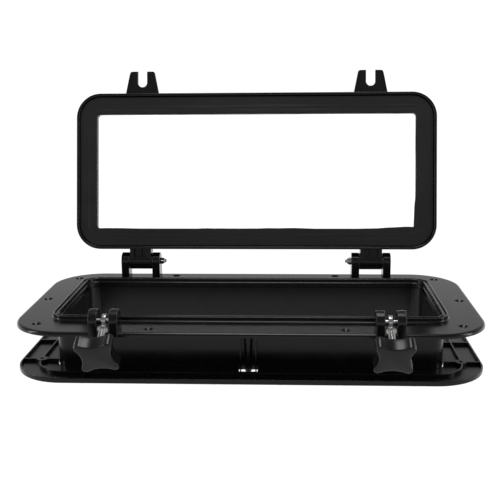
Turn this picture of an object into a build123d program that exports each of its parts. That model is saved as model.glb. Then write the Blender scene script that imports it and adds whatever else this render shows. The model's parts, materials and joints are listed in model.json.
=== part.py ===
from build123d import *
import os
from math import cos, degrees, radians, sin

# Opening deck hatch: a flanged frame with a spigot that passes through the deck, a hinged lid with a clear
# pane, two swing bolts with star knobs that clamp the lid, and a loose trim ring for the inside of the cut-out.
# Millimetres. The origin is the centre of the opening on the flange's underside, which is the mounting face.
# +Z points out of the deck, +Y towards the hinges, and the knobs are on the -Y side.

# Flange
FLANGE_W = 440.0
FLANGE_D = 220.0
FLANGE_T = 4.0
FLANGE_R = 50.0
FLANGE_EDGE = 3.0
SOFT_EDGE = 0.8
SCREW_R = 2.4
SCREW_HEAD_R = 4.6
SCREW_MARGIN = 12.0
CORNER_SCREW = (196.0, 84.0)
FRONT_SCREW_X = 89.0

# Raised rim that the lid closes on
RIM_IN_X = 181.0
RIM_IN_Y = 68.0
RIM_IN_R = 10.5
RIM_WALL = 6.0
RIM_H = 4.4
RIM_LIP = 1.8
RIM_GROOVE = 1.4
LIP_ROUND = 0.8
RIM_FOOT = 1.5

# Spigot through the deck
SPIGOT_OUT_X = 183.5
SPIGOT_OUT_Y = 70.5
SPIGOT_OUT_R = 14.0
SPIGOT_WALL = 4.0
SPIGOT_L = 44.5
LEDGE_Z = -1.0

# Drain spout on the front of the spigot
SPOUT_TOP_R = 4.4
SPOUT_FOOT_R = 3.1
SPOUT_OUT = 2.2
SPOUT_BORE_R = 1.6
SPOUT_FIN = 1.2
SPOUT_FIN_X = 7.2
SPOUT_FIN_OUT = 6.6
DRAIN_Z = -5.0

# The hinges, the lid's fork tabs and the swing bolts share two stations along X
STATION_X = 128.2

# Hinge
HINGE_Y = 99.5
HINGE_Z = FLANGE_T + 17.0
HINGE_EAR_R = 9.5
HINGE_EAR_IN = 13.0
HINGE_EAR_OUT = 21.5
BARREL_R = 9.2
BARREL_HALF = 12.7
NECK_HALF = 11.9
PIN_R = 2.0
PIN_FIT = 0.06
PIN_HEAD_R = 3.5
PIN_HEAD_T = 0.9
PIN_TAIL = 2.0
NUT_FLATS = 7.0
NUT_T = 3.2
NUT_COLLAR_T = 1.6
OPEN_ANGLE = 102.5

# Lid
LID_X = 199.0
LID_Y = 86.5
LID_R = 27.0
SKIRT_Z = FLANGE_T + 3.0
LID_TOP_Z = FLANGE_T + 25.0
LID_EDGE = 5.0
GASKET_Z = FLANGE_T + RIM_H + 0.3
GASKET_T = 4.0
GASKET_X = 195.5
GASKET_Y = 83.0
GASKET_IN_X = 176.5
GASKET_IN_Y = 63.5
GASKET_IN_R = 3.0
CHANNEL_GAP = 0.5
WINDOW_X = 177.5
WINDOW_Y = 64.5
WINDOW_R = 4.0
LENS_SEAT_Z = FLANGE_T + 17.8
LENS_T = 5.0
LENS_LAP = 5.5
LENS_GAP = 1.3
BED_T = 1.0
CORE_WALL = 3.0
CORE_SKIN = 4.5
CORE_RIB = 3.0
CORE_RIB_X = (0.0, 50.0, 107.0, 150.0)
CORE_RIB_Y = (0.0, 35.0)

# Fork tabs on the lid's front edge
TAB_BASE_HALF = 19.2
TAB_TIP_HALF = 13.7
TAB_L = 27.5
TAB_T = 4.6
TAB_CORNER = 3.0
TAB_RIB_W = 2.0
TAB_RIB_H = 0.8
SLOT_HALF = 5.15

# Swing bolt lugs, with the pivot's centre over the slot's round end
PIVOT_Y = -101.5
PIVOT_Z = FLANGE_T + 9.3
LUG_R = 10.4
LUG_IN = 5.4
LUG_OUT = 13.3
PIVOT_RECESS = 0.8
DOWEL_R = 1.6
SADDLE_R = 5.2

# Swing bolt, measured along its axis from the pivot
REST_TILT = 30.0
EYE_R = 5.8
EYE_T = 4.0
NECK_R = 1.9
NECK_TO = 8.5
SHANK_R = 3.0
COLLAR_FROM = 6.0
COLLAR_TO = 11.6
COLLAR_R0 = 2.6
COLLAR_R1 = 4.7
BOLT_TIP = 32.7

# Star knob, its threaded insert and its thrust washer
WASHER_FROM = 26.7
WASHER_T = 1.2
WASHER_R = 6.2
WASHER_BORE_R = 3.25
HUB_FROM = 27.95
HUB_R = 5.9
STAR_FROM = 32.5
STAR_T = 13.0
STAR_CHAMFER = 1.1
LOBES = 4
LOBE_CENTRE = 18.3
LOBE_R = 4.2
WAIST_R = 13.8
INSERT_R = 4.6
INSERT_L = 13.9
INSERT_FIT = 0.06
BLIND_TO = 43.8
KNOB_TURN = {"left": 52.0, "right": 44.0}

# Trim ring, hidden side up, around the spigot's foot
RING_H = 5.0
RING_T = 2.0
RING_WALL = 1.8
RING_EDGE = 1.5
RING_ROUND = 0.6
RING_GAP = 0.9
RING_INNER_SET = 18.0
RING_BOSS = (201.0, 57.0)
RING_BOSS_R = 5.5
RING_SCREW_R = 1.8
RING_NOTCH_HALF = 8.8
RING_NOTCH_OUT = 9.0
RING_WEEP = (6.0, 93.0)
RING_WEEP_R = 1.4

SIDES = {"left": -1, "right": 1}


def plate(half_x, half_y, radius, z_low, z_high):
    """A flat plate with rounded corners between two heights."""
    outline = RectangleRounded(2 * half_x, 2 * half_y, radius)
    return Pos(0, 0, z_low) * extrude(outline, amount=z_high - z_low)


def block(x_low, x_high, y_low, y_high, z_low, z_high):
    """A box between corner coordinates."""
    centre = Pos((x_low + x_high) / 2, (y_low + y_high) / 2, (z_low + z_high) / 2)
    return centre * Box(x_high - x_low, y_high - y_low, z_high - z_low)


def rod_x(x_low, x_high, y, z, radius):
    """A cylinder along X."""
    return Pos((x_low + x_high) / 2, y, z) * Rot(0, 90, 0) * Cylinder(radius, x_high - x_low)


def rod_z(x, y, z_low, z_high, radius):
    """A cylinder along Z."""
    return Pos(x, y, (z_low + z_high) / 2) * Cylinder(radius, z_high - z_low)


def save(shape, node):
    """Writes one sub-part."""
    export_step(shape, f"parts/{node}.step")


def open_lid(shape):
    """Turns a lid piece from closed to its open rest position about the hinge axis."""
    axis = Axis((0, HINGE_Y, HINGE_Z), (-1, 0, 0))
    return shape.rotate(axis, OPEN_ANGLE)


def on_bolt(shape, side):
    """Puts a piece that was made along +Z from the pivot onto the swing bolt at rest."""
    return Pos(SIDES[side] * STATION_X, PIVOT_Y, PIVOT_Z) * Rot(90 + REST_TILT, 0, 0) * shape


def screw_places():
    """Centres of the flange's countersunk holes."""
    side_x = FLANGE_W / 2 - SCREW_MARGIN
    front_y = FLANGE_D / 2 - SCREW_MARGIN
    corners = [(sx * CORNER_SCREW[0], sy * CORNER_SCREW[1]) for sx in (-1, 1) for sy in (-1, 1)]
    mids = [(sx * FRONT_SCREW_X, sy * front_y) for sx in (-1, 1) for sy in (-1, 1)]
    return corners + mids + [(-side_x, 0.0), (side_x, 0.0)]


def ear_profile(y, z, radius, x_low, x_high):
    """An upright ear: round about the pin, with straight flanks down into the flange."""
    foot = 1.0
    ear = rod_x(x_low, x_high, y, z, radius) + block(x_low, x_high, y - radius, y + radius, foot, z)
    rims = [e for e in ear.edges() if min(abs(e.center().X - x_low), abs(e.center().X - x_high)) < 0.01]
    return fillet([e for e in rims if e.center().Z > foot + 0.1], SOFT_EDGE)


def rim_and_flange():
    """The flange with its raised rim: two round-topped lips and a groove between them."""
    flange = plate(FLANGE_W / 2, FLANGE_D / 2, FLANGE_R, 0, FLANGE_T)
    flange = fillet(flange.edges().group_by(Axis.Z)[-1], FLANGE_EDGE)
    rim_x = RIM_IN_X + RIM_WALL
    rim_y = RIM_IN_Y + RIM_WALL
    rim_r = RIM_IN_R + RIM_WALL
    top = FLANGE_T + RIM_H
    rim = plate(rim_x, rim_y, rim_r, 1, top)
    groove = plate(rim_x - RIM_LIP, rim_y - RIM_LIP, rim_r - RIM_LIP, top - RIM_GROOVE, top + 1)
    groove -= plate(RIM_IN_X + RIM_LIP, RIM_IN_Y + RIM_LIP, RIM_IN_R + RIM_LIP, 0, top + 2)
    rim -= groove
    rim -= plate(RIM_IN_X, RIM_IN_Y, RIM_IN_R, 0, top + 1)
    rim = fillet(rim.edges().group_by(Axis.Z)[-1], LIP_ROUND)
    body = flange + rim
    foot = [e for e in body.edges() if abs(e.bounding_box().min.Z - FLANGE_T) < 0.01]
    foot = [e for e in foot if abs(e.bounding_box().max.Z - FLANGE_T) < 0.01]
    foot = [e for e in foot if abs(e.center().X) < rim_x + 0.1 and abs(e.center().Y) < rim_y + 0.1]
    return fillet(foot, RIM_FOOT)


def ear_pair(station, y, z, radius, x_in, x_out):
    """Two ears, one on each side of a station."""
    first = ear_profile(y, z, radius, station - x_out, station - x_in)
    second = ear_profile(y, z, radius, station + x_in, station + x_out)
    return first + second


def drain_spout():
    """Tapered drain tube between two fins, on the front of the spigot."""
    tube = Cone(SPOUT_FOOT_R, SPOUT_TOP_R, SPIGOT_L)
    spout = Pos(0, -SPIGOT_OUT_Y - SPOUT_OUT, -SPIGOT_L / 2) * tube
    for x in (-SPOUT_FIN_X, SPOUT_FIN_X):
        y_out = -SPIGOT_OUT_Y - SPOUT_FIN_OUT
        spout += block(x - SPOUT_FIN / 2, x + SPOUT_FIN / 2, y_out, -SPIGOT_OUT_Y + 1, -SPIGOT_L, 1)
    return spout


def main_frame():
    """Flange, rim, spigot, hinge ears, bolt lugs and drain spout, moulded as one."""
    spigot = plate(SPIGOT_OUT_X, SPIGOT_OUT_Y, SPIGOT_OUT_R, -SPIGOT_L, 1)
    spigot = fillet(spigot.edges().group_by(Axis.Z)[0], SOFT_EDGE)
    body = rim_and_flange() + spigot + drain_spout()
    body -= plate(RIM_IN_X, RIM_IN_Y, RIM_IN_R, LEDGE_Z, FLANGE_T)
    inner_x = SPIGOT_OUT_X - SPIGOT_WALL
    inner_y = SPIGOT_OUT_Y - SPIGOT_WALL
    body -= plate(inner_x, inner_y, SPIGOT_OUT_R - SPIGOT_WALL, -SPIGOT_L - 1, LEDGE_Z + 1)
    for sign in SIDES.values():
        station = sign * STATION_X
        body += ear_pair(station, HINGE_Y, HINGE_Z, HINGE_EAR_R, HINGE_EAR_IN, HINGE_EAR_OUT)
        body += ear_pair(station, PIVOT_Y, PIVOT_Z, LUG_R, LUG_IN, LUG_OUT)
        reach = HINGE_EAR_OUT + 1
        body -= rod_x(station - reach, station + reach, HINGE_Y, HINGE_Z, PIN_R)
        reach = LUG_OUT + 1
        body -= rod_x(station - reach, station + reach, PIVOT_Y, PIVOT_Z, DOWEL_R)
    for side in SIDES:
        body -= on_bolt(rod_z(0, 0, COLLAR_FROM, WASHER_FROM, SADDLE_R), side) & saddle_space(side)
    for x, y in screw_places():
        body -= rod_z(x, y, -1, FLANGE_T + 1, SCREW_R)
        sink = SCREW_HEAD_R - SCREW_R
        body -= Pos(x, y, FLANGE_T - sink / 2) * Cone(SCREW_R, SCREW_HEAD_R, sink)
    spout_y = -SPIGOT_OUT_Y - SPOUT_OUT
    body -= rod_z(0, spout_y, -SPIGOT_L - 1, DRAIN_Z, SPOUT_BORE_R)
    inlet = Pos(0, spout_y / 2 - inner_y / 2, DRAIN_Z - SPOUT_BORE_R) * Rot(90, 0, 0)
    body -= inlet * Cylinder(SPOUT_BORE_R, -spout_y - inner_y + 1)
    return body


def saddle_space(side):
    """The part of the flange's edge, between two lugs, where the resting bolt has its saddle."""
    station = SIDES[side] * STATION_X
    return block(station - LUG_IN, station + LUG_IN, -FLANGE_D / 2 - 1, PIVOT_Y, 0, PIVOT_Z)


def hinge_pin(side):
    """Hinge bolt: a low head on the outboard ear and a thread that stands out past the nut."""
    sign = SIDES[side]
    station = sign * STATION_X
    tail = station - sign * (HINGE_EAR_OUT + NUT_T + NUT_COLLAR_T + PIN_TAIL)
    face = station + sign * HINGE_EAR_OUT
    head = face + sign * PIN_HEAD_T
    pin = rod_x(min(tail, face), max(tail, face), HINGE_Y, HINGE_Z, PIN_R)
    return pin + rod_x(min(face, head), max(face, head), HINGE_Y, HINGE_Z, PIN_HEAD_R)


def hinge_nut(side):
    """Locking nut on the inboard ear: a hexagon and the round collar that holds its insert."""
    sign = SIDES[side]
    across_corners = NUT_FLATS / cos(radians(30)) / 2
    nut = Rot(0, 0, 30) * extrude(RegularPolygon(across_corners, 6), amount=NUT_T)
    nut += rod_z(0, 0, 0, NUT_T + NUT_COLLAR_T, NUT_FLATS / 2 - 0.4)
    nut -= rod_z(0, 0, -1, NUT_T + NUT_COLLAR_T + 1, PIN_R)
    face = sign * (STATION_X - HINGE_EAR_OUT)
    return Pos(face, HINGE_Y, HINGE_Z) * Rot(0, -90 * sign, 0) * nut


def pivot_pin(side):
    """Plain dowel that the swing bolt turns on, pressed in below the lugs' outer faces."""
    station = SIDES[side] * STATION_X
    reach = LUG_OUT - PIVOT_RECESS
    return rod_x(station - reach, station + reach, PIVOT_Y, PIVOT_Z, DOWEL_R)


def hinge_knuckle(station):
    """Barrel and neck that join the lid to one hinge, without the pin's bore."""
    barrel = rod_x(station - BARREL_HALF, station + BARREL_HALF, HINGE_Y, HINGE_Z, BARREL_R)
    barrel = fillet(barrel.edges().filter_by(GeomType.CIRCLE), SOFT_EDGE)
    low = HINGE_Z - BARREL_R + 0.7
    high = HINGE_Z + 6.0
    neck = block(station - NECK_HALF, station + NECK_HALF, LID_Y - 2, HINGE_Y, low, high)
    for x in (station - 4.3, station + 4.3):
        neck -= block(x - 3.4, x + 3.4, LID_Y, HINGE_Y - 3.8, low - 1, low + 5.0)
        barrel -= block(x - 3.4, x + 3.4, LID_Y, HINGE_Y - 3.8, low - 2, low + 5.0)
    return barrel + neck


def fork_tab(station):
    """Forked tab on the lid's front edge, with a low rib under each sloping side."""
    low = LID_TOP_Z - TAB_T
    base_y = -LID_Y + LID_EDGE
    tip_y = -LID_Y - TAB_L
    slope = (TAB_BASE_HALF - TAB_TIP_HALF) / TAB_L
    base = TAB_BASE_HALF + LID_EDGE * slope
    outline = Polygon((-base, base_y), (-TAB_TIP_HALF, tip_y), (TAB_TIP_HALF, tip_y), (base, base_y), align=None)
    tab = Pos(0, 0, low) * extrude(outline, amount=TAB_T)
    tips = tab.edges().filter_by(Axis.Z).group_by(Axis.Y)[0]
    tab = fillet(tips, TAB_CORNER)
    for sign in (-1, 1):
        rib = Polygon(
            (sign * base, base_y),
            (sign * (base - TAB_RIB_W), base_y),
            (sign * (TAB_TIP_HALF - TAB_RIB_W + slope * 4), tip_y + 4),
            (sign * (TAB_TIP_HALF + slope * 4), tip_y + 4),
            align=None,
        )
        tab += Pos(0, 0, low - TAB_RIB_H) * extrude(rib, amount=TAB_RIB_H + 1, dir=(0, 0, 1))
    slot = rod_z(0, PIVOT_Y, low - 2, LID_TOP_Z + 1, SLOT_HALF)
    slot += block(-SLOT_HALF, SLOT_HALF, tip_y - 1, PIVOT_Y, low - 2, LID_TOP_Z + 1)
    tab -= slot
    rims = [e for e in tab.edges().group_by(Axis.Z)[-1] if e.center().Y < base_y - 0.1]
    return Pos(station, 0, 0) * fillet(rims, SOFT_EDGE)


def lid_core():
    """The groove that lightens the lid behind its gasket, less the ribs that cross it."""
    low = GASKET_Z + GASKET_T - 1
    high = LID_TOP_Z - CORE_SKIN
    inset = CORE_WALL + 1
    step = LENS_LAP + CORE_WALL
    core = plate(LID_X - inset, LID_Y - inset, LID_R - inset, low, high)
    core -= plate(WINDOW_X + step, WINDOW_Y + step, WINDOW_R + step, low - 1, high + 1)
    for x in CORE_RIB_X:
        for sign in (-1, 1):
            core -= block(sign * x - CORE_RIB / 2, sign * x + CORE_RIB / 2, -LID_Y, LID_Y, low - 1, high + 1)
    for y in CORE_RIB_Y:
        for sign in (-1, 1):
            core -= block(-LID_X, LID_X, sign * y - CORE_RIB / 2, sign * y + CORE_RIB / 2, low - 1, high + 1)
    return core


def lid_frame():
    """Lid moulding: frame, gasket channel, pane seat, knuckles and fork tabs."""
    body = plate(LID_X, LID_Y, LID_R, SKIRT_Z, LID_TOP_Z)
    body = fillet(body.edges().group_by(Axis.Z)[-1], LID_EDGE)
    for sign in SIDES.values():
        body += hinge_knuckle(sign * STATION_X)
        body += fork_tab(sign * STATION_X)
    channel_x = GASKET_X + CHANNEL_GAP
    channel_y = GASKET_Y + CHANNEL_GAP
    channel_r = LID_R - (LID_X - channel_x)
    body -= plate(channel_x, channel_y, channel_r, SKIRT_Z - 1, GASKET_Z + GASKET_T)
    body = fillet(body.edges().group_by(Axis.Z)[0], SOFT_EDGE)
    body -= lid_core()
    body -= plate(WINDOW_X, WINDOW_Y, WINDOW_R, SKIRT_Z, LID_TOP_Z + 1)
    body -= plate(WINDOW_X + LENS_LAP, WINDOW_Y + LENS_LAP, WINDOW_R + LENS_LAP, LENS_SEAT_Z, LID_TOP_Z + 1)
    for sign in SIDES.values():
        reach = BARREL_HALF + 1
        station = sign * STATION_X
        body -= rod_x(station - reach, station + reach, HINGE_Y, HINGE_Z, PIN_R + PIN_FIT)
    return open_lid(body)


def lid_gasket():
    """Soft seal in the lid's channel, which closes on the rim."""
    outer_r = LID_R - (LID_X - GASKET_X)
    seal = plate(GASKET_X, GASKET_Y, outer_r, GASKET_Z, GASKET_Z + GASKET_T)
    seal -= plate(GASKET_IN_X, GASKET_IN_Y, GASKET_IN_R, 0, LID_TOP_Z)
    return open_lid(seal)


def lens():
    """Clear pane, let into the lid from outside."""
    lap = LENS_LAP - LENS_GAP
    low = LENS_SEAT_Z + BED_T
    pane = plate(WINDOW_X + lap, WINDOW_Y + lap, WINDOW_R + lap, low, low + LENS_T)
    pane = chamfer(pane.edges().group_by(Axis.Z)[-1], 0.5)
    return open_lid(pane)


def lens_seal():
    """Bonding bead under and around the pane."""
    lap = LENS_LAP - LENS_GAP
    low = LENS_SEAT_Z + BED_T
    bead = plate(WINDOW_X + LENS_LAP, WINDOW_Y + LENS_LAP, WINDOW_R + LENS_LAP, LENS_SEAT_Z, low + LENS_T - 0.5)
    bead -= plate(WINDOW_X + lap, WINDOW_Y + lap, WINDOW_R + lap, low, LID_TOP_Z)
    bead -= plate(WINDOW_X, WINDOW_Y, WINDOW_R, 0, LID_TOP_Z)
    return open_lid(bead)


def swing_bolt(side):
    """Eye bolt: a flat round eye on the pivot pin, a narrow neck and a plain shank."""
    eye = Rot(0, 90, 0) * Cylinder(EYE_R, EYE_T)
    eye = fillet(eye.edges().filter_by(GeomType.CIRCLE), 0.5)
    bolt = eye + rod_z(0, 0, 4, NECK_TO, NECK_R) + rod_z(0, 0, NECK_TO, BOLT_TIP, SHANK_R)
    bolt = chamfer(bolt.edges().group_by(Axis.Z)[-1], 0.6)
    bolt -= rod_x(-EYE_T, EYE_T, 0, 0, DOWEL_R + PIN_FIT)
    return on_bolt(bolt, side)


def bolt_collar(side):
    """Tapered collar that centres the bolt in the lid's slot."""
    length = COLLAR_TO - COLLAR_FROM
    collar = Pos(0, 0, COLLAR_FROM + length / 2) * Cone(COLLAR_R0, COLLAR_R1, length)
    collar -= rod_z(0, 0, COLLAR_FROM - 1, NECK_TO, NECK_R) + rod_z(0, 0, NECK_TO, COLLAR_TO + 1, SHANK_R)
    return on_bolt(collar, side)


def knob_washer(side):
    """Nylon thrust washer between the knob's hub and the lid's tab."""
    washer = rod_z(0, 0, WASHER_FROM, WASHER_FROM + WASHER_T, WASHER_R)
    washer -= rod_z(0, 0, WASHER_FROM - 1, WASHER_FROM + WASHER_T + 1, WASHER_BORE_R)
    return on_bolt(washer, side)


def star_outline():
    """Round lobes joined by hollow arcs that are tangent to them."""
    half_step = radians(180 / LOBES)
    spread = cos(half_step)
    top = LOBE_CENTRE**2 + WAIST_R**2 - 2 * LOBE_CENTRE * WAIST_R * spread - LOBE_R**2
    hollow_r = top / (2 * (LOBE_R - WAIST_R + LOBE_CENTRE * spread))
    hollow_centre = WAIST_R + hollow_r
    touch = LOBE_R / (LOBE_R + hollow_r)
    corners = []
    for k in range(LOBES):
        turn = 2 * half_step * k
        for way in (-1, 1):
            x = LOBE_CENTRE * cos(turn) * (1 - touch) + hollow_centre * cos(turn + way * half_step) * touch
            y = LOBE_CENTRE * sin(turn) * (1 - touch) + hollow_centre * sin(turn + way * half_step) * touch
            corners.append((x, y))
    star = make_face(Polyline(*corners, close=True))
    for k in range(LOBES):
        turn = degrees(2 * half_step) * k
        star += Rot(0, 0, turn) * Pos(LOBE_CENTRE, 0) * Circle(LOBE_R)
        star -= Rot(0, 0, turn + degrees(half_step)) * Pos(hollow_centre, 0) * Circle(hollow_r)
    return star


def knob(side):
    """Star knob with a hub and a blind bore for its insert and the bolt's tip."""
    star = Pos(0, 0, STAR_FROM) * extrude(star_outline(), amount=STAR_T)
    star = chamfer(star.edges().group_by(Axis.Z)[-1], STAR_CHAMFER)
    body = star + rod_z(0, 0, HUB_FROM, STAR_FROM + 1, HUB_R)
    body -= rod_z(0, 0, HUB_FROM - 1, HUB_FROM + INSERT_L, INSERT_R)
    body -= rod_z(0, 0, HUB_FROM, BLIND_TO, SHANK_R + 0.3)
    return on_bolt(Rot(0, 0, KNOB_TURN[side]) * body, side)


def knob_insert(side):
    """Threaded brass insert moulded into the knob."""
    insert = rod_z(0, 0, HUB_FROM, HUB_FROM + INSERT_L, INSERT_R)
    insert -= rod_z(0, 0, HUB_FROM - 1, HUB_FROM + INSERT_L + 1, SHANK_R + INSERT_FIT)
    return on_bolt(insert, side)


def ring_wall(half_x, half_y, radius, low, top):
    """A thin wall round the trim ring, with its top edges rounded."""
    wall = plate(half_x, half_y, radius, low, top)
    wall -= plate(half_x - RING_WALL, half_y - RING_WALL, radius - RING_WALL, low - 1, top + 1)
    return fillet(wall.edges().group_by(Axis.Z)[-1], RING_ROUND)


def trim_ring():
    """Trim ring: finished face down, with its walls, ribs and screw bosses up."""
    low = -SPIGOT_L
    top = low + RING_H
    half_x = FLANGE_W / 2
    half_y = FLANGE_D / 2
    open_x = SPIGOT_OUT_X + RING_GAP
    open_y = SPIGOT_OUT_Y + RING_GAP
    open_r = SPIGOT_OUT_R + RING_GAP
    ring = plate(half_x, half_y, FLANGE_R, low, low + RING_T)
    ring += ring_wall(half_x, half_y, FLANGE_R, low, top)
    ring = fillet(ring.edges().group_by(Axis.Z)[0], RING_EDGE)
    ring += ring_wall(half_x - RING_INNER_SET, half_y - RING_INNER_SET, FLANGE_R - RING_INNER_SET, low + 1, top)
    for y in (-RING_BOSS[1], 0, RING_BOSS[1]):
        for sign in (-1, 1):
            ends = sorted((sign * open_x, sign * (half_x - 1)))
            ring += block(ends[0], ends[1], y - RING_WALL / 2, y + RING_WALL / 2, low, top)
    for x in (-150, -90, -30, 30, 90, 150):
        for sign in (-1, 1):
            ends = sorted((sign * open_y, sign * (half_y - 1)))
            ring += block(x - RING_WALL / 2, x + RING_WALL / 2, ends[0], ends[1], low, top)
    bosses = [(sx * RING_BOSS[0], sy * RING_BOSS[1]) for sx in (-1, 1) for sy in (-1, 1)]
    for x, y in bosses:
        ring += rod_z(x, y, low, top, RING_BOSS_R)
    for x, y in bosses:
        ring -= rod_z(x, y, low - 1, top + 1, RING_SCREW_R)
    for sign in (-1, 1):
        ring -= rod_z(sign * RING_WEEP[0], -RING_WEEP[1], low - 1, top + 1, RING_WEEP_R)
    ring -= plate(open_x, open_y, open_r, low - 1, top + 1)
    notch_y = -open_y - RING_NOTCH_OUT
    ring -= block(-RING_NOTCH_HALF, RING_NOTCH_HALF, notch_y, -open_y + 1, low - 1, top + 1)
    return ring


os.makedirs("parts", exist_ok=True)
save(main_frame(), "main_frame")
save(lid_frame(), "lid_frame")
save(lid_gasket(), "lid_gasket")
save(lens(), "lens")
save(lens_seal(), "lens_seal")
save(trim_ring(), "trim_ring")
for name in SIDES:
    save(hinge_pin(name), f"hinge_pin_{name}")
    save(hinge_nut(name), f"hinge_nut_{name}")
    save(pivot_pin(name), f"pivot_pin_{name}")
    save(swing_bolt(name), f"swing_bolt_{name}")
    save(bolt_collar(name), f"bolt_collar_{name}")
    save(knob_washer(name), f"knob_washer_{name}")
    save(knob(name), f"knob_{name}")
    save(knob_insert(name), f"knob_insert_{name}")
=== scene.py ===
import json
import math

import bmesh
import bpy
from mathutils import Matrix, Vector, noise


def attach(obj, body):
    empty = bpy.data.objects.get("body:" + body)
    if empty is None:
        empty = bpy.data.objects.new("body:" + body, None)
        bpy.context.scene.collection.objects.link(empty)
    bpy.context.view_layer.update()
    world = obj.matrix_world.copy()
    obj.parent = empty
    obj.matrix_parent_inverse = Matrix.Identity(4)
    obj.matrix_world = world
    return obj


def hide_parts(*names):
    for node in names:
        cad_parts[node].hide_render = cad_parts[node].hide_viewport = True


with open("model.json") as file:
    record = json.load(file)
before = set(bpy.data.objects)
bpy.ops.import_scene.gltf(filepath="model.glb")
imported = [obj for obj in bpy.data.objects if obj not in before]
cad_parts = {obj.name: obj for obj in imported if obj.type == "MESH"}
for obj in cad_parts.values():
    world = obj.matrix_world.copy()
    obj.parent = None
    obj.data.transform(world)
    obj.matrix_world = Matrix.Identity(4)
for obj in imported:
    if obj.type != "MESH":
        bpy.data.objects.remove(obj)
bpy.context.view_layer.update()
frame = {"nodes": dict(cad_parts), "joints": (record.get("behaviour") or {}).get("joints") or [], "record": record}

MM = 0.001
SIDES = ("left", "right")
JOINTS = {joint["name"]: joint for joint in frame["joints"]}
HINGE = Vector(JOINTS["lid_hinge"]["pos_m"])
LID_OPEN = math.radians(JOINTS["lid_hinge"]["range_deg"][0])
BOLT_UPRIGHT = math.radians(JOINTS["bolt_swing_left"]["range_deg"][1])

# Sizes are in millimetres and turns in degrees; steps, spans and points are counts. Heights on a swing
# bolt and its knob are measured along the bolt, from the line of its pivot.
MERGE = 0.002
STATION = 128.2
SMALL_STEPS = 48
MEDIUM_STEPS = 72
LARGE_STEPS = 96
THREAD_STEPS = 32

# Eye bolt: eye, neck, shank and thread
EYE_R = 5.8
EYE_HALF = 2.0
EYE_BORE = 1.66
EYE_EDGE = 0.45
EYE_BREAK = 0.25
NECK_R = 1.9
NECK_FROM = 3.3
NECK_TO = 8.5
SHANK_R = 2.98
THREAD_FROM = 10.7
THREAD_R = 2.99
CORE_R = 2.5
BOLT_PITCH = 1.0
BOLT_TIP = 32.7
TIP_BREAK = 0.6

# Tapered collar and pivot dowel
COLLAR_FROM = 6.0
COLLAR_FROM_R = 2.6
COLLAR_TO = 11.6
COLLAR_TO_R = 4.7
DOWEL_R = 1.6
DOWEL_HALF = 12.5

# Thrust washer, brass insert and star knob
WASHER_FROM = 26.7
WASHER_TO = 27.9
WASHER_BORE = 3.25
WASHER_R = 6.2
INSERT_FROM = 27.95
INSERT_TO = 41.85
INSERT_BORE = 3.06
INSERT_R = 4.6
KNURL_DEPTH = 0.12
KNURL_BAND = 4.0
INSERT_WAIST_R = 4.25
HUB_FROM = 27.95
HUB_R = 5.9
BLIND_R = 3.3
BLIND_TO = 43.8
BLIND_TIP_R = 0.05
STAR_FROM = 32.5
STAR_TO = 45.5
STAR_BACK = 0.7
STAR_FACE = 1.5
STAR_DRAFT = 0.15
STAR_POINTS = 360
LOBES = 4
LOBE_CENTRE = 18.3
LOBE_R = 4.2
WAIST_R = 13.8
KNOB_TURN = {"left": 52.0, "right": 44.0}

# Hinge bolt and locking nut
EAR_OUT = 21.5
PIN_R = 2.0
PIN_CORE_R = 1.7
PIN_PITCH = 0.7
PIN_TAIL = 2.0
PIN_HEAD_R = 3.5
PIN_HEAD_T = 0.9
RECESS_DEPTH = 0.4
NUT_FLATS = 7.0
NUT_T = 3.2
NUT_COLLAR = 1.6
NUT_TURN = 20.0

# Gasket: outlines as half width, half depth and corner radius, in the closed lid. GASKET_STEPS and
# LIP_LINES are fractions of the way across its band, from the inner outline to the outer one.
GASKET_OUT = (195.5, 83.0, 23.5)
GASKET_IN = (176.5, 63.5, 3.0)
GASKET_BAND = 19.0
GASKET_FACE = 8.7
GASKET_T = 4.0
GASKET_SPANS = (300, 110, 30)
GASKET_STEPS = (
    0.0, 0.012, 0.03, 0.055, 0.10, 0.16, 0.21, 0.245, 0.265, 0.284, 0.303, 0.325, 0.36, 0.41, 0.455,
    0.485, 0.505, 0.525, 0.555, 0.61, 0.68, 0.76, 0.84, 0.90, 0.945, 0.97, 0.988, 1.0,
)
LIP_LINES = (0.284, 0.505)
SPLICE_X = 6.0
SPLICE_DEPTH = 0.45
SPLICE_WIDTH = 0.7
LIP_DEPTH = 0.16
LIP_WIDTH = 0.55
CROWN = 0.10
CREASE_DEPTH = 0.34
CREASE_SPREAD = 8.0
CREASE_COUNT = 11.0
CREASE_INSET = 7.5
CORNER_INSET = 4.0
CREPT_CORNER = (172, 60)
CREPT_SIDE_X = 176


# ---------------------------------------------------------------- finishes


class Value:
    """A shader value that takes part in plain arithmetic."""

    def __init__(self, finish, socket):
        self.finish = finish
        self.socket = socket

    def maths(self, operation, first, second):
        sockets = {0: first, 1: second}
        return self.finish.node("ShaderNodeMath", {"operation": operation}, sockets).out("Value")

    def __add__(self, other):
        return self.maths("ADD", self, other)

    def __radd__(self, other):
        return self.maths("ADD", other, self)

    def __mul__(self, other):
        return self.maths("MULTIPLY", self, other)

    def __rmul__(self, other):
        return self.maths("MULTIPLY", other, self)


class Made:
    """A node that was made, whose outputs are read by name."""

    def __init__(self, finish, node):
        self.finish = finish
        self.node = node

    def out(self, name):
        return Value(self.finish, self.node.outputs[name])


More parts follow.
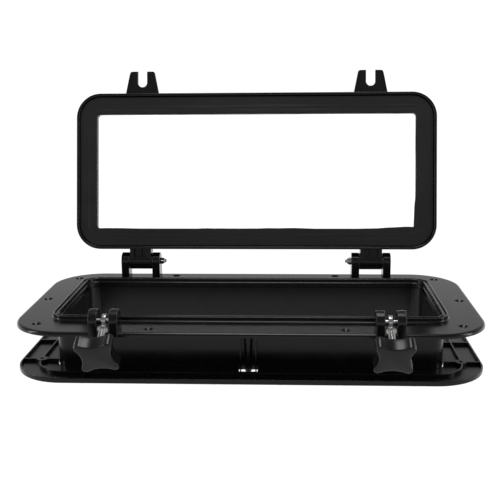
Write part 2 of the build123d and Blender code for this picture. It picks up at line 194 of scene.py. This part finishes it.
class Finish:
    """A material built round one Principled shader."""

    def __init__(self, name):
        self.material = bpy.data.materials.new(name)
        self.material.use_nodes = True
        self.tree = self.material.node_tree
        self.shader = self.tree.nodes["Principled BSDF"]
        self.place = self.node("ShaderNodeTexCoord").out("Object")

    def node(self, kind, settings=None, sockets=None):
        node = self.tree.nodes.new(kind)
        for name, setting in (settings or {}).items():
            if name == "stops":
                self.set_stops(node.color_ramp, setting)
            else:
                setattr(node, name, setting)
        for name, value in (sockets or {}).items():
            self.feed(node.inputs[name], value)
        return Made(self, node)

    def set_stops(self, ramp, stops):
        while len(ramp.elements) < len(stops):
            ramp.elements.new(1.0)
        for element, (position, level) in zip(ramp.elements, stops):
            element.position = position
            element.color = (level, level, level, 1.0)

    def feed(self, socket, value):
        if isinstance(value, Value):
            self.tree.links.new(value.socket, socket)
        else:
            socket.default_value = value

    def set(self, **sockets):
        for name, value in sockets.items():
            self.feed(self.shader.inputs[name.replace("_", " ")], value)

    def noise(self, scale, detail=2.0, stretch=(1.0, 1.0, 1.0)):
        """Noise from 0 to 1; scale is in cycles per metre."""
        place = self.node("ShaderNodeMapping", sockets={"Vector": self.place, "Scale": stretch}).out("Vector")
        sockets = {"Vector": place, "Scale": scale, "Detail": detail}
        return self.node("ShaderNodeTexNoise", sockets=sockets).out("Fac")

    def band(self, value, stops):
        return self.node("ShaderNodeValToRGB", {"stops": stops}, {"Fac": value}).out("Color")

    def mix(self, factor, first, second):
        sockets = {"Factor": factor, 6: first, 7: second}
        made = self.node("ShaderNodeMix", {"data_type": "RGBA"}, sockets)
        return Value(self, made.node.outputs[2])

    def bump(self, height, depth, strength):
        sockets = {"Height": height, "Distance": depth, "Strength": strength}
        return self.node("ShaderNodeBump", sockets=sockets).out("Normal")


def rgb(red, green, blue):
    return (red, green, blue, 1.0)


def moulded_black(name, gloss, grain=1.0):
    """Black ABS with a faint spark-eroded grain, slow flow marks and a few handling smears."""
    finish = Finish(name)
    grain_height = finish.noise(2600.0, 3.0)
    flow = finish.noise(14.0, 3.0, (0.5, 1.0, 1.0))
    smear = finish.band(finish.noise(55.0, 5.0, (1.0, 0.35, 0.6)), [(0.45, 0.0), (0.75, 1.0)])
    tone = finish.mix(flow, rgb(0.0034, 0.0034, 0.0038), rgb(0.0056, 0.0056, 0.0062))
    height = grain_height * (0.7 * grain) + finish.noise(160.0, 2.0) * 0.3
    finish.set(Base_Color=tone, Roughness=gloss + grain_height * 0.06 + smear * 0.05)
    finish.set(Normal=finish.bump(height, 0.00004, 0.35), Specular_IOR_Level=0.42)
    return finish.material


def foam_rubber(name):
    """Soft closed-cell rubber: matt, charcoal, with fine pores and faint chalky bloom."""
    finish = Finish(name)
    pores = finish.noise(3200.0, 4.0)
    bloom = finish.band(finish.noise(30.0, 6.0, (0.4, 1.0, 1.0)), [(0.35, 0.0), (0.8, 1.0)])
    tone = finish.mix(bloom, rgb(0.0040, 0.0040, 0.0052), rgb(0.0105, 0.0105, 0.0125))
    finish.set(Base_Color=tone, Roughness=0.42 + pores * 0.25)
    finish.set(Normal=finish.bump(pores * 0.7 + finish.noise(420.0, 2.0) * 0.5, 0.00012, 0.6))
    finish.set(Specular_IOR_Level=0.4)
    return finish.material


def bonding_rubber(name):
    """Cured black sealant with a slightly uneven skin."""
    finish = Finish(name)
    skin = finish.noise(240.0, 4.0)
    finish.set(Base_Color=finish.mix(skin, rgb(0.008, 0.008, 0.009), rgb(0.014, 0.014, 0.015)))
    finish.set(Roughness=0.4 + skin * 0.2, Normal=finish.bump(skin, 0.0002, 0.5))
    return finish.material


def turned_steel(name, level, gloss):
    """Stainless steel with fine tool lines and slight tarnish."""
    finish = Finish(name)
    cut = finish.noise(2200.0, 2.0, (0.05, 1.0, 1.0))
    stain = finish.noise(220.0, 4.0)
    tone = finish.mix(stain, rgb(level * 0.86, level * 0.85, level * 0.83), rgb(level, level, level * 0.99))
    finish.set(Base_Color=tone, Metallic=1.0, Roughness=gloss + cut * 0.10 + stain * 0.06)
    finish.set(Normal=finish.bump(cut, 0.00002, 0.4))
    return finish.material


def brass(name):
    finish = Finish(name)
    stain = finish.noise(260.0, 4.0)
    finish.set(Base_Color=finish.mix(stain, rgb(0.50, 0.36, 0.16), rgb(0.66, 0.50, 0.25)), Metallic=1.0)
    finish.set(Roughness=0.25 + stain * 0.2, Normal=finish.bump(finish.noise(1800.0), 0.00002, 0.4))
    return finish.material


def nylon(name):
    finish = Finish(name)
    skin = finish.noise(900.0, 3.0)
    finish.set(Base_Color=finish.mix(skin, rgb(0.009, 0.009, 0.010), rgb(0.016, 0.016, 0.017)))
    finish.set(Roughness=0.45 + skin * 0.15, Normal=finish.bump(skin, 0.00005, 0.4))
    return finish.material


def clear_acrylic(name):
    """Cast acrylic: clear, polished, with a trace of wiping haze."""
    finish = Finish(name)
    haze = finish.band(finish.noise(40.0, 5.0), [(0.5, 0.0), (0.9, 1.0)])
    finish.set(Base_Color=rgb(0.985, 0.992, 0.99), Roughness=haze * 0.02, Transmission_Weight=1.0, IOR=1.49)
    return finish.material


FINISHES = {
    "frame_plastic": moulded_black("moulded_black_frame", 0.17),
    "lid_plastic": moulded_black("moulded_black_lid", 0.19),
    "ring_plastic": moulded_black("moulded_black_ring", 0.22),
    "knob_plastic": moulded_black("moulded_black_knob", 0.22, 1.2),
    "clear_acrylic": clear_acrylic("clear_acrylic"),
    "seal_rubber": bonding_rubber("bonding_rubber"),
    "gasket_rubber": foam_rubber("foam_rubber"),
    "stainless": turned_steel("polished_stainless", 0.72, 0.10),
    "bolt_steel": turned_steel("turned_stainless", 0.62, 0.17),
    "washer_nylon": nylon("black_nylon"),
    "insert_brass": brass("insert_brass"),
}


def dress_cad_nodes():
    """Every carried-over CAD node takes the finish of its slot."""
    for part in frame["record"]["subparts"]:
        node = frame["nodes"][part["node"]]
        node.data.materials.clear()
        node.data.materials.append(FINISHES[part["material_slot"]])


# ---------------------------------------------------------------- making pieces


def finish_piece(mesh, name, slot, body, replaced, smooth_angle=35.0):
    """Turns a bmesh into a finished piece that rides on a body and stands for a CAD node."""
    bmesh.ops.remove_doubles(mesh, verts=mesh.verts, dist=MERGE * MM)
    bmesh.ops.recalc_face_normals(mesh, faces=mesh.faces)
    data = bpy.data.meshes.new(name)
    mesh.to_mesh(data)
    mesh.free()
    data.shade_smooth()
    data.set_sharp_from_angle(angle=math.radians(smooth_angle))
    data.materials.append(FINISHES[slot])
    piece = bpy.data.objects.new(name, data)
    bpy.context.scene.collection.objects.link(piece)
    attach(piece, body)
    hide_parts(replaced)
    return piece


def wire(mesh, profile, lift=0.0):
    """A chain of edges from (radius, height) points in millimetres, ready to be spun about Z."""
    verts = [mesh.verts.new((radius * MM, 0.0, (lift + height) * MM)) for radius, height in profile]
    return verts + [mesh.edges.new(pair) for pair in zip(verts, verts[1:])]


def turned(mesh, profile, steps):
    """Spins a profile of (radius, height) in millimetres once about Z."""
    bmesh.ops.spin(
        mesh, geom=wire(mesh, profile), cent=(0, 0, 0), axis=(0, 0, 1), angle=2 * math.pi,
        steps=steps, use_merge=True,
    )


def threaded(mesh, crest, root, pitch, start, end):
    """A right-handed thread about Z, in millimetres, as one ridge wound from start to end."""
    ridge = [(root, 0.0), (crest, 0.36 * pitch), (crest, 0.50 * pitch), (root, 0.86 * pitch), (root, pitch)]
    turns = round((end - start) / pitch) - 1
    bmesh.ops.spin(
        mesh, geom=wire(mesh, ridge, start), cent=(0, 0, 0), axis=(0, 0, 1), angle=2 * math.pi * turns,
        steps=THREAD_STEPS * turns, dvec=(0, 0, pitch * MM / THREAD_STEPS), use_merge=False,
    )


def lofted(mesh, rings):
    """Joins closed rings of points, given in metres, into a tube of quads."""
    made = [[mesh.verts.new(point) for point in ring] for ring in rings]
    for first, second in zip(made, made[1:]):
        for k in range(len(first)):
            mesh.faces.new((first[k - 1], first[k], second[k], second[k - 1]))
    return made


def ring_at(height, count, radius_at):
    """A closed ring of points about Z; radius_at(number, turn) gives each point's radius in millimetres."""
    ring = []
    for k in range(count):
        turn = 2 * math.pi * k / count
        reach = radius_at(k, turn) * MM
        ring.append((reach * math.cos(turn), reach * math.sin(turn), height * MM))
    return ring


def round_ring(radius, height, count):
    return ring_at(height, count, lambda k, turn: radius)


def arc(centre, radius, start, end, count):
    """Points of an arc in degrees, as (radius, height) pairs for a turned profile."""
    points = []
    for k in range(count + 1):
        turn = math.radians(start + (end - start) * k / count)
        points.append((centre[0] + radius * math.cos(turn), centre[1] + radius * math.sin(turn)))
    return points


def move(mesh, matrix):
    bmesh.ops.transform(mesh, matrix=matrix, verts=mesh.verts)


def pivot_place(side):
    """The matrix that takes a piece made along +Z onto the swing bolt at rest."""
    pivot = Vector(JOINTS[f"bolt_swing_{side}"]["pos_m"])
    return Matrix.Translation(pivot) @ Matrix.Rotation(BOLT_UPRIGHT, 4, "X")


def across(side, y, z, outboard=True):
    """The matrix that lays a piece made along +Z on a pin's line, pointing outboard or inboard."""
    sign = -1 if side == "left" else 1
    way = sign if outboard else -sign
    return Matrix.Translation((sign * STATION * MM, y, z)) @ Matrix.Rotation(way * math.pi / 2, 4, "Y")


def lid_place():
    """The matrix that takes a lid piece from closed to its open rest position."""
    return Matrix.Translation(HINGE) @ Matrix.Rotation(LID_OPEN, 4, "X") @ Matrix.Translation(-HINGE)


# ---------------------------------------------------------------- swing bolts


def add_swing_bolt(side):
    """Forged eye with a rounded rim, a plain neck and a rolled thread."""
    mesh = bmesh.new()
    bore = [(EYE_BORE, -EYE_HALF + EYE_BREAK), (EYE_BORE + EYE_BREAK, -EYE_HALF)]
    rim = arc((EYE_R - EYE_EDGE, -EYE_HALF + EYE_EDGE), EYE_EDGE, -90, 0, 4)
    rim += arc((EYE_R - EYE_EDGE, EYE_HALF - EYE_EDGE), EYE_EDGE, 0, 90, 4)
    far = [(EYE_BORE + EYE_BREAK, EYE_HALF), (EYE_BORE, EYE_HALF - EYE_BREAK)]
    turned(mesh, bore + rim + far + bore[:1], MEDIUM_STEPS)
    move(mesh, Matrix.Rotation(math.pi / 2, 4, "Y"))
    neck = [(0, NECK_FROM), (NECK_R, NECK_FROM + 0.2), (NECK_R, NECK_TO - 0.1), (SHANK_R, NECK_TO + 0.1)]
    turned(mesh, neck + [(SHANK_R, THREAD_FROM + 0.2), (CORE_R, THREAD_FROM + 0.7)], SMALL_STEPS)
    core = [(CORE_R, THREAD_FROM + 0.2), (CORE_R, BOLT_TIP - TIP_BREAK)]
    turned(mesh, core + [(CORE_R - TIP_BREAK, BOLT_TIP), (0, BOLT_TIP)], SMALL_STEPS)
    threaded(mesh, THREAD_R, CORE_R - 0.01, BOLT_PITCH, THREAD_FROM, BOLT_TIP - 0.5)
    move(mesh, pivot_place(side))
    finish_piece(mesh, f"eye_bolt_{side}", "bolt_steel", f"swing_bolt_{side}", f"swing_bolt_{side}")


def add_collar(side):
    """Polished taper with a crisp lip at its wide end and a bore that follows the neck and the shank."""
    lip = COLLAR_FROM_R + (COLLAR_TO_R - COLLAR_FROM_R) * 0.93
    profile = [(NECK_R, COLLAR_FROM), (COLLAR_FROM_R - 0.1, COLLAR_FROM), (COLLAR_FROM_R, COLLAR_FROM + 0.1)]
    profile += [(lip, COLLAR_TO - 0.55), (COLLAR_TO_R, COLLAR_TO - 0.35), (COLLAR_TO_R, COLLAR_TO - 0.12)]
    profile += [(COLLAR_TO_R - 0.12, COLLAR_TO), (3.25, COLLAR_TO), (3.0, COLLAR_TO - 0.25)]
    profile += [(3.0, NECK_TO + 0.1), (NECK_R, NECK_TO - 0.1), (NECK_R, COLLAR_FROM)]
    mesh = bmesh.new()
    turned(mesh, profile, LARGE_STEPS)
    move(mesh, pivot_place(side))
    body = f"swing_bolt_{side}"
    finish_piece(mesh, f"taper_collar_{side}", "bolt_steel", body, f"bolt_collar_{side}", 25.0)


def add_pivot_pin(side):
    """Plain dowel with broken ends."""
    pivot = JOINTS[f"bolt_swing_{side}"]["pos_m"]
    mesh = bmesh.new()
    profile = [(0, -DOWEL_HALF), (DOWEL_R - 0.3, -DOWEL_HALF), (DOWEL_R, 0.3 - DOWEL_HALF)]
    profile += [(DOWEL_R, DOWEL_HALF - 0.3), (DOWEL_R - 0.3, DOWEL_HALF), (0, DOWEL_HALF)]
    turned(mesh, profile, SMALL_STEPS)
    move(mesh, across(side, pivot[1], pivot[2]))
    finish_piece(mesh, f"dowel_{side}", "stainless", "frame", f"pivot_pin_{side}")


# ---------------------------------------------------------------- knobs


def add_washer(side):
    """Thrust washer with broken edges."""
    profile = [(WASHER_BORE, WASHER_FROM + 0.15), (WASHER_BORE + 0.15, WASHER_FROM)]
    profile += [(WASHER_R - 0.25, WASHER_FROM), (WASHER_R, WASHER_FROM + 0.25)]
    profile += [(WASHER_R, WASHER_TO - 0.25), (WASHER_R - 0.25, WASHER_TO)]
    profile += [(WASHER_BORE + 0.15, WASHER_TO), (WASHER_BORE, WASHER_TO - 0.15)]
    mesh = bmesh.new()
    turned(mesh, profile + profile[:1], MEDIUM_STEPS)
    move(mesh, pivot_place(side))
    body = f"knob_washer_{side}"
    finish_piece(mesh, f"thrust_washer_{side}", "washer_nylon", body, f"knob_washer_{side}")


def add_insert(side):
    """Brass insert with a knurled grip band at each end."""
    near, far = INSERT_FROM + KNURL_BAND, INSERT_TO - KNURL_BAND
    profile = [(INSERT_BORE, INSERT_FROM + 0.2), (INSERT_BORE + 0.2, INSERT_FROM)]
    profile += [(INSERT_R - 0.3, INSERT_FROM), (INSERT_R, INSERT_FROM + 0.3), (INSERT_R, near)]
    profile += [(INSERT_WAIST_R, near + 0.3), (INSERT_WAIST_R, far - 0.3), (INSERT_R, far)]
    profile += [(INSERT_R, INSERT_TO - 0.3), (INSERT_R - 0.3, INSERT_TO), (INSERT_BORE + 0.2, INSERT_TO)]
    profile += [(INSERT_BORE, INSERT_TO - 0.2), (INSERT_BORE, INSERT_FROM + 0.2)]
    rings = []
    for radius, height in profile:
        tooth = KNURL_DEPTH if radius == INSERT_R else 0.0
        rings.append(ring_at(height, LARGE_STEPS, lambda k, turn: radius - tooth * (k % 2)))
    mesh = bmesh.new()
    lofted(mesh, rings)
    move(mesh, pivot_place(side))
    finish_piece(mesh, f"brass_insert_{side}", "insert_brass", f"knob_{side}", f"knob_insert_{side}")


def star_radius(turn):
    """Distance from the centre to the star's outline in a direction, in millimetres."""
    half_step = math.pi / LOBES
    spread = math.cos(half_step)
    top = LOBE_CENTRE**2 + WAIST_R**2 - 2 * LOBE_CENTRE * WAIST_R * spread - LOBE_R**2
    hollow = top / (2 * (LOBE_R - WAIST_R + LOBE_CENTRE * spread))
    off = (turn + half_step) % (2 * half_step) - half_step
    side = LOBE_CENTRE * math.sin(off)
    if abs(side) < LOBE_R:
        lobe = LOBE_CENTRE * math.cos(off) + math.sqrt(LOBE_R**2 - side**2)
    else:
        lobe = 0.0
    away = half_step - abs(off)
    centre = WAIST_R + hollow
    gap = hollow**2 - (centre * math.sin(away)) ** 2
    if gap <= 0:
        return lobe
    waist = centre * math.cos(away) - math.sqrt(gap)
    touch = LOBE_R / (LOBE_R + hollow)
    join_x = LOBE_CENTRE * (1 - touch) + centre * math.cos(half_step) * touch
    join_y = centre * math.sin(half_step) * touch
    return waist if abs(off) > math.atan2(join_y, join_x) else lobe


def star_ring(inset, height):
    """A ring of points of the star's outline, moved in along its normals."""
    plain = []
    for k in range(STAR_POINTS):
        turn = 2 * math.pi * k / STAR_POINTS
        reach = star_radius(turn)
        plain.append(Vector((reach * math.cos(turn), reach * math.sin(turn))))
    ring = []
    for k, point in enumerate(plain):
        along = plain[(k + 1) % STAR_POINTS] - plain[k - 1]
        inward = Vector((-along.y, along.x)).normalized()
        place = point + inward * inset
        ring.append((place.x * MM, place.y * MM, height * MM))
    return ring


def add_knob(side):
    """Star knob: softly rounded grip with drafted flanks, a hub behind and a blind bore."""
    rings = []
    for turn in (0, 22.5, 45, 67.5, 90):
        back, rise = 1 - math.sin(math.radians(turn)), 1 - math.cos(math.radians(turn))
        rings.append(star_ring(STAR_DRAFT + STAR_BACK * back, STAR_FROM + STAR_BACK * rise))
    flank = STAR_TO - STAR_FROM - STAR_BACK - STAR_FACE
    for part in (0.25, 0.5, 0.75):
        rings.append(star_ring(STAR_DRAFT * abs(2 * part - 1), STAR_FROM + STAR_BACK + flank * part))
    for turn in (90, 75, 60, 45, 30, 15, 0):
        back, rise = 1 - math.sin(math.radians(turn)), 1 - math.cos(math.radians(turn))
        rings.append(star_ring(STAR_DRAFT + STAR_FACE * back, STAR_TO - STAR_FACE * rise))
    hub = [(HUB_R + 0.6, STAR_FROM), (HUB_R + 0.15, STAR_FROM - 0.3), (HUB_R, STAR_FROM - 0.9)]
    hub += [(HUB_R, HUB_FROM + 0.4), (HUB_R - 0.4, HUB_FROM), (INSERT_R, HUB_FROM), (INSERT_R, INSERT_TO)]
    hub += [(BLIND_R, INSERT_TO), (BLIND_R, BLIND_TO), (BLIND_TIP_R, BLIND_TO)]
    mesh = bmesh.new()
    star = lofted(mesh, rings)
    bore = lofted(mesh, [round_ring(radius, height, STAR_POINTS) for radius, height in hub])
    mesh.faces.new(star[-1])
    mesh.faces.new(bore[-1])
    for k in range(STAR_POINTS):
        mesh.faces.new((star[0][k - 1], star[0][k], bore[0][k], bore[0][k - 1]))
    move(mesh, pivot_place(side) @ Matrix.Rotation(math.radians(KNOB_TURN[side]), 4, "Z"))
    finish_piece(mesh, f"star_knob_{side}", "knob_plastic", f"knob_{side}", f"knob_{side}", 40.0)


# ---------------------------------------------------------------- hinge hardware


def add_hinge_pin(side):
    """Hinge bolt: low domed head with a recess outboard, and a short end of thread past the nut."""
    end = -(EAR_OUT + NUT_T + NUT_COLLAR + PIN_TAIL)
    relief = end + PIN_TAIL + 0.6
    shank = [(0, end), (1.35, end), (PIN_CORE_R, end + 0.35), (PIN_CORE_R, relief), (PIN_R, relief + 0.3)]
    top = EAR_OUT + PIN_HEAD_T
    shank += [(PIN_R, EAR_OUT), (PIN_HEAD_R - 0.2, EAR_OUT), (PIN_HEAD_R, EAR_OUT + 0.15)]
    shank += [(PIN_HEAD_R - 0.05, EAR_OUT + 0.45), (3.0, top - 0.12), (2.2, top), (1.45, top)]
    shank += [(1.3, top - RECESS_DEPTH), (0, top - RECESS_DEPTH)]
    mesh = bmesh.new()
    turned(mesh, shank, SMALL_STEPS)
    threaded(mesh, PIN_R - 0.01, PIN_CORE_R - 0.02, PIN_PITCH, end + 0.2, end + PIN_TAIL + 1.1)
    move(mesh, across(side, HINGE.y, HINGE.z))
    finish_piece(mesh, f"hinge_bolt_{side}", "stainless", "frame", f"hinge_pin_{side}")


def nut_radius(turn, chamfer):
    """Distance from the centre to the nut's flats in a direction, cut off at the chamfer, in millimetres."""
    return min(NUT_FLATS / 2 / math.cos(turn % (math.pi / 3) - math.pi / 6), chamfer)


def add_hinge_nut(side):
    """Locking nut: a hexagon with chamfered corners and the rolled collar that holds its ring."""
    rings = []
    for height in (0, 0.15, 0.3, 0.5, 0.8, NUT_T - 0.8, NUT_T - 0.5, NUT_T - 0.3, NUT_T - 0.15, NUT_T):
        chamfer = NUT_FLATS / 2 + 0.02 + 1.1 * min(height, NUT_T - height)
        rings.append(ring_at(height, LARGE_STEPS, lambda k, turn: nut_radius(turn, chamfer)))
    top = NUT_T + NUT_COLLAR
    rounds = [(3.1, NUT_T), (3.1, NUT_T + 0.9), (3.0, NUT_T + 1.25), (2.7, top - 0.1), (2.45, top)]
    rounds += [(2.3, top - 0.1), (2.05, top - 0.4), (PIN_R, NUT_T), (PIN_R, 0.0)]
    rings += [round_ring(radius, height, LARGE_STEPS) for radius, height in rounds]
    mesh = bmesh.new()
    lofted(mesh, rings + rings[:1])
    move(mesh, Matrix.Translation((0, 0, EAR_OUT * MM)) @ Matrix.Rotation(math.radians(NUT_TURN), 4, "Z"))
    move(mesh, across(side, HINGE.y, HINGE.z, outboard=False))
    finish_piece(mesh, f"lock_nut_{side}", "stainless", "frame", f"hinge_nut_{side}", 28.0)


# ---------------------------------------------------------------- gasket


def rounded_outline(half_x, half_y, radius, spans_x, spans_y, spans_corner):
    """Points round a rounded rectangle, with the same number on each side whatever its size."""
    points = []
    flat_x, flat_y = half_x - radius, half_y - radius
    for k in range(4):
        turn = k * math.pi / 2
        mid_x = flat_x if k in (0, 3) else -flat_x
        mid_y = flat_y if k in (0, 1) else -flat_y
        for j in range(spans_corner):
            angle = turn + math.pi / 2 * j / spans_corner
            points.append((mid_x + radius * math.cos(angle), mid_y + radius * math.sin(angle)))
        angle = turn + math.pi / 2
        start = (mid_x + radius * math.cos(angle), mid_y + radius * math.sin(angle))
        if k % 2 == 0:
            count, end = spans_x, (-start[0], start[1])
        else:
            count, end = spans_y, (start[0], -start[1])
        for j in range(count):
            part = j / count
            points.append((start[0] + (end[0] - start[0]) * part, start[1] + (end[1] - start[1]) * part))
    return points


def gasket_dip(x, y, step):
    """How far the gasket's face stands back from true, in millimetres; step runs from inside to outside."""
    place = Vector((x, y, 0))
    edge = min(step, 1 - step) * GASKET_BAND
    dip = 1.0 - math.sqrt(1 - (1 - edge) ** 2) if edge < 1.0 else 0.0
    for line in LIP_LINES:
        dip += LIP_DEPTH * math.exp(-(((step - line) * GASKET_BAND / LIP_WIDTH) ** 2))
    dip += CROWN * (2 * step - 1) ** 2
    dip += 0.12 * (noise.noise(place * 0.035) + 0.5 * noise.noise(place * 0.11))
    dip += 0.30 * noise.noise(Vector((x * 0.018, y * 0.018, step * 5.0)))
    dip += 0.07 * noise.noise(Vector((x * 0.25, y * 0.25, step * 9.0)))
    past_x, past_y = abs(x) - GASKET_IN[0], abs(y) - GASKET_IN[1]
    corner = math.hypot(past_x + CORNER_INSET, past_y + CORNER_INSET)
    fan = math.atan2(past_y + CREASE_INSET, past_x + CREASE_INSET)
    crease = math.sin(fan * CREASE_COUNT + 0.5 * x / GASKET_IN[0])
    dip += CREASE_DEPTH * math.exp(-((corner / CREASE_SPREAD) ** 2)) * crease
    if y < 0:
        dip += SPLICE_DEPTH * math.exp(-(((x - SPLICE_X - 0.4 * step) / SPLICE_WIDTH) ** 2))
    return max(0.0, dip)


def gasket_sag(x, y, step):
    """How far the gasket's inner part has crept towards the window, in millimetres."""
    place = Vector((x, y, 0))
    sag = 1.2 * noise.noise(place * 0.016) + 0.5 * noise.noise(place * 0.06)
    sag += 1.7 * math.exp(-((math.hypot(x - CREPT_CORNER[0], y - CREPT_CORNER[1]) / 30.0) ** 2))
    sag += 1.1 * (1 + math.tanh((x - CREPT_SIDE_X) / 2.0)) / 2 * (y + 64) / 127
    return max(-0.2, sag) * (1 - step) ** 2


def add_gasket():
    """Soft seal in the lid: crowned, a little rippled, marked by the rim's two lips and spliced in front."""
    outer = rounded_outline(*GASKET_OUT, *GASKET_SPANS)
    inner = rounded_outline(*GASKET_IN, *GASKET_SPANS)
    rings = []
    for step in GASKET_STEPS:
        ring = []
        for near, far in zip(inner, outer):
            x = near[0] + (far[0] - near[0]) * step
            y = near[1] + (far[1] - near[1]) * step
            inward = Vector((near[0] - far[0], near[1] - far[1])).normalized() * gasket_sag(x, y, step)
            face = GASKET_FACE + gasket_dip(x, y, step)
            ring.append(((x + inward.x) * MM, (y + inward.y) * MM, face * MM))
        rings.append(ring)
    back = (GASKET_FACE + GASKET_T) * MM
    rings += [[(x * MM, y * MM, back) for x, y in outline] for outline in (outer, inner)]
    mesh = bmesh.new()
    lofted(mesh, rings + rings[:1])
    move(mesh, lid_place())
    gasket = finish_piece(mesh, "soft_gasket", "gasket_rubber", "lid", "lid_gasket", 50.0)


# ---------------------------------------------------------------- stage, light and camera

CAMERA_PLACE = Vector((0.0401, -0.843, 0.2444))
CAMERA_YAW = math.radians(-2.8)
CAMERA_PITCH = math.radians(12.7)
CAMERA_ROLL = math.radians(-0.5)
SENSOR = 36.0
FOCAL_FRAMES = 1.731
FRAME_SHIFT = 0.003

# Brightness of the surroundings against the height and the depth of the direction that is looked in
HEIGHT_LEVELS = ((-1.0, 0.62), (-0.45, 0.58), (-0.12, 0.88), (0.06, 0.88), (0.22, 0.30), (1.0, 0.16))
DEPTH_LEVELS = ((-1.0, 0.50), (-0.5, 0.52), (0.1, 0.62), (0.6, 1.0), (1.0, 1.0))
ROOM_STRENGTH = 1.5
PAPER_STRENGTH = 1.05


def add_camera():
    data = bpy.data.cameras.new("camera")
    data.sensor_width = SENSOR
    data.lens = SENSOR * FOCAL_FRAMES
    data.shift_y = FRAME_SHIFT
    camera = bpy.data.objects.new("camera", data)
    bpy.context.scene.collection.objects.link(camera)
    turn = Matrix.Rotation(-CAMERA_YAW, 3, "Z") @ Matrix.Rotation(math.pi / 2 - CAMERA_PITCH, 3, "X")
    turn = turn @ Matrix.Rotation(CAMERA_ROLL, 3, "Z")
    camera.matrix_world = Matrix.Translation(CAMERA_PLACE) @ turn.to_4x4()
    bpy.context.scene.camera = camera


def add_area_light(name, place, target, size, power):
    data = bpy.data.lights.new(name, "AREA")
    data.shape = "RECTANGLE"
    data.size, data.size_y = size
    data.energy = power
    light = bpy.data.objects.new(name, data)
    bpy.context.scene.collection.objects.link(light)
    aim = (Vector(target) - Vector(place)).to_track_quat("-Z", "Y")
    light.matrix_world = Matrix.Translation(place) @ aim.to_matrix().to_4x4()


def studio_world():
    """White for the camera; for the object, a white backdrop, a pale table and a dimmer room behind."""
    world = bpy.data.worlds.new("studio")
    world.use_nodes = True
    tree = world.node_tree
    tree.nodes.clear()

    def node(kind, **settings):
        made = tree.nodes.new(kind)
        for name, setting in settings.items():
            setattr(made, name, setting)
        return made

    def level(axis, stops):
        half = node("ShaderNodeMapRange")
        half.inputs["From Min"].default_value = -1.0
        tree.links.new(split.outputs[axis], half.inputs["Value"])
        ramp = node("ShaderNodeValToRGB")
        while len(ramp.color_ramp.elements) < len(stops):
            ramp.color_ramp.elements.new(1.0)
        for element, (position, value) in zip(ramp.color_ramp.elements, stops):
            element.position = (position + 1) / 2
            element.color = (value, value, value, 1.0)
        tree.links.new(half.outputs["Result"], ramp.inputs["Fac"])
        return ramp.outputs["Color"]

    split = node("ShaderNodeSeparateXYZ")
    tree.links.new(node("ShaderNodeTexCoord").outputs["Generated"], split.inputs["Vector"])
    room = node("ShaderNodeMath", operation="MULTIPLY")
    tree.links.new(level("Z", HEIGHT_LEVELS), room.inputs[0])
    tree.links.new(level("Y", DEPTH_LEVELS), room.inputs[1])
    lit = node("ShaderNodeBackground")
    tree.links.new(room.outputs["Value"], lit.inputs["Color"])
    lit.inputs["Strength"].default_value = ROOM_STRENGTH
    paper = node("ShaderNodeBackground")
    paper.inputs["Color"].default_value = rgb(1.0, 1.0, 1.0)
    paper.inputs["Strength"].default_value = PAPER_STRENGTH
    choice = node("ShaderNodeMixShader")
    tree.links.new(node("ShaderNodeLightPath").outputs["Is Camera Ray"], choice.inputs["Fac"])
    tree.links.new(lit.outputs["Background"], choice.inputs[1])
    tree.links.new(paper.outputs["Background"], choice.inputs[2])
    tree.links.new(choice.outputs["Shader"], node("ShaderNodeOutputWorld").inputs["Surface"])
    return world


def add_light():
    bpy.context.scene.world = studio_world()
    add_area_light("top_softbox", place=(0.0, -0.10, 1.0), target=(0, 0, 0), size=(0.5, 0.6), power=4.5)
    add_area_light("left_strip", place=(-1.4, -0.3, 0.4), target=(0, 0, 0.05), size=(0.2, 1.2), power=5.0)
    add_area_light("right_strip", place=(1.4, -0.3, 0.4), target=(0, 0, 0.05), size=(0.2, 1.2), power=5.0)
    bpy.context.scene.view_settings.view_transform = "Standard"


add_camera()
add_light()
dress_cad_nodes()
add_gasket()
for side in SIDES:
    add_swing_bolt(side)
    add_collar(side)
    add_washer(side)
    add_insert(side)
    add_knob(side)
    add_hinge_pin(side)
    add_hinge_nut(side)
    add_pivot_pin(side)
